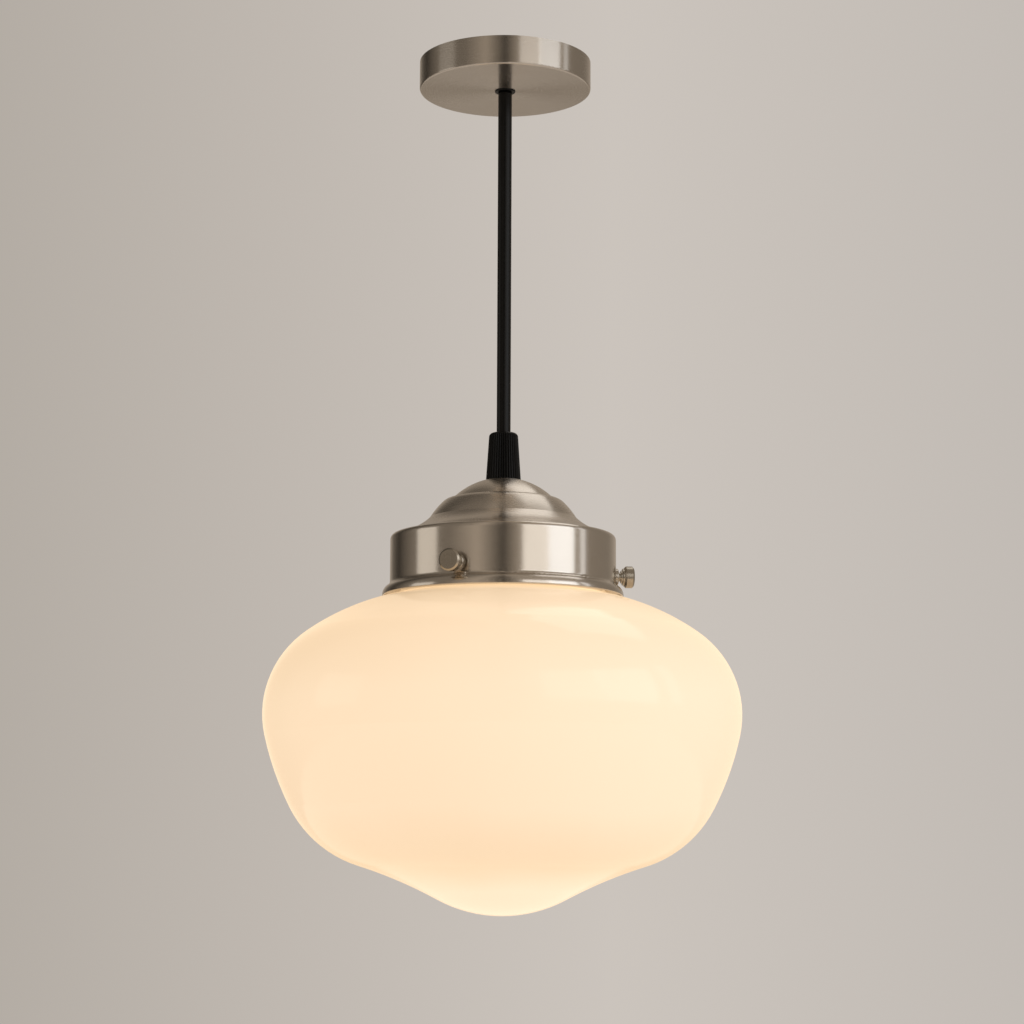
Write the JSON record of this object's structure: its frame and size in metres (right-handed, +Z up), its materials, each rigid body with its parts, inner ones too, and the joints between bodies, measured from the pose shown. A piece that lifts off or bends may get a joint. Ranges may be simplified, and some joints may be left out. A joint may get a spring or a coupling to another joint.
{
  "type": "pendant light",
  "caption": "Opal glass shade under a stepped metal fitter with thumb screws, hung on a straight flex from a round ceiling rose.",
  "frame": {"origin": "centre of the fixing strap's top face, which lies on the ceiling", "axes": "+Z up into the ceiling, so the lamp hangs along -Z; -Y towards the picture's viewer; +X to the viewer's right"},
  "size_m": [0.2696, 0.2696, 0.4944],
  "materials": {
    "satin_nickel": "satin brushed nickel plate over spun steel",
    "zinc_steel": "zinc plate, hidden fittings",
    "black_plastic": "moulded, fine matt",
    "white_nylon": "natural nylon",
    "flex_black": "smooth sheath with a soft gloss",
    "brass": "turned and pressed brass",
    "core_brown": "smooth insulation",
    "core_blue": "smooth insulation",
    "core_green": "smooth insulation, green with a yellow stripe",
    "white_ceramic": "fired, unglazed faces",
    "opal_glass": "blown opal glass, lit warm from inside",
    "frosted_glass": "frosted inside",
    "clear_glass": "clear",
    "bulb_metal": "pressed, bright",
    "black_glass": "vitreous black ring",
    "light_strip": "glowing coating"
  },
  "bodies": {
    "ceiling": {"fixing_strap": "zinc_steel", "rose_cup": "satin_nickel", "rose_side_screws": "zinc_steel", "cord_grommet": "black_plastic", "cord_collar": "black_plastic", "collar_screw": "zinc_steel", "terminal_block": "white_nylon", "terminal_sleeves": "brass", "terminal_screws": "brass", "block_screw": "zinc_steel", "earth_ring": "brass", "earth_screw": "brass", "live_core_at_rose": "core_brown", "neutral_core_at_rose": "core_blue", "earth_core_at_rose": "core_green", "flex_top": "flex_black"},
    "flex": {"flex_bend": "flex_black", "flex": "flex_black"},
    "lamp": {"fitter": "satin_nickel", "screw_bosses": "satin_nickel", "spring_washer": "zinc_steel", "lock_nut": "zinc_steel", "grip_cap": "black_plastic", "grip_base": "black_plastic", "holder_skirt": "black_plastic", "grip_collet": "white_nylon", "nipple": "brass", "screw_shell": "brass", "centre_contact": "brass", "holder_terminals": "brass", "holder_terminal_screws": "brass", "holder_cap": "brass", "live_core_at_holder": "core_brown", "neutral_core_at_holder": "core_blue", "earth_core_at_holder": "core_green", "holder_insert": "white_ceramic", "glass_shade": "opal_glass"},
    "thumb_screw_left": {"thumb_screw_left": "satin_nickel"},
    "thumb_screw_right": {"thumb_screw_right": "satin_nickel"},
    "thumb_screw_rear": {"thumb_screw_rear": "satin_nickel"},
    "bulb": {"bulb_glass": "frosted_glass", "bulb_cap": "bulb_metal", "bulb_insulator": "black_glass", "bulb_contact": "brass", "bulb_stem": "clear_glass", "filament_plates": "bulb_metal", "light_strips": "light_strip"}
  },
  "joints": [
    {"name": "swing", "type": "hinge", "parent": "ceiling", "child": "flex", "pos_m": [0, 0, -0.0332], "axis": [0, 1, 0], "range_deg": [-20, 20], "deforming": ["flex_bend"]},
    {"name": "turn", "type": "hinge", "parent": "flex", "child": "lamp", "pos_m": [0, 0, -0.2209], "axis": [0, 0, 1], "range_deg": [-45, 45], "stiffness_Nm_per_rad": 0.02},
    {"name": "left_screw_out", "type": "slide", "parent": "lamp", "child": "thumb_screw_left", "axis": [-0.3907, -0.9205, 0], "range_m": [0, 0.006]},
    {"name": "right_screw_out", "type": "slide", "parent": "lamp", "child": "thumb_screw_right", "axis": [0.9925, 0.1219, 0], "range_m": [0, 0.006]},
    {"name": "rear_screw_out", "type": "slide", "parent": "lamp", "child": "thumb_screw_rear", "axis": [-0.6018, 0.7986, 0], "range_m": [0, 0.006]},
    {"name": "bulb_out", "type": "slide", "parent": "lamp", "child": "bulb", "axis": [0, 0, -1], "range_m": [0, 0.026]}
  ]
}
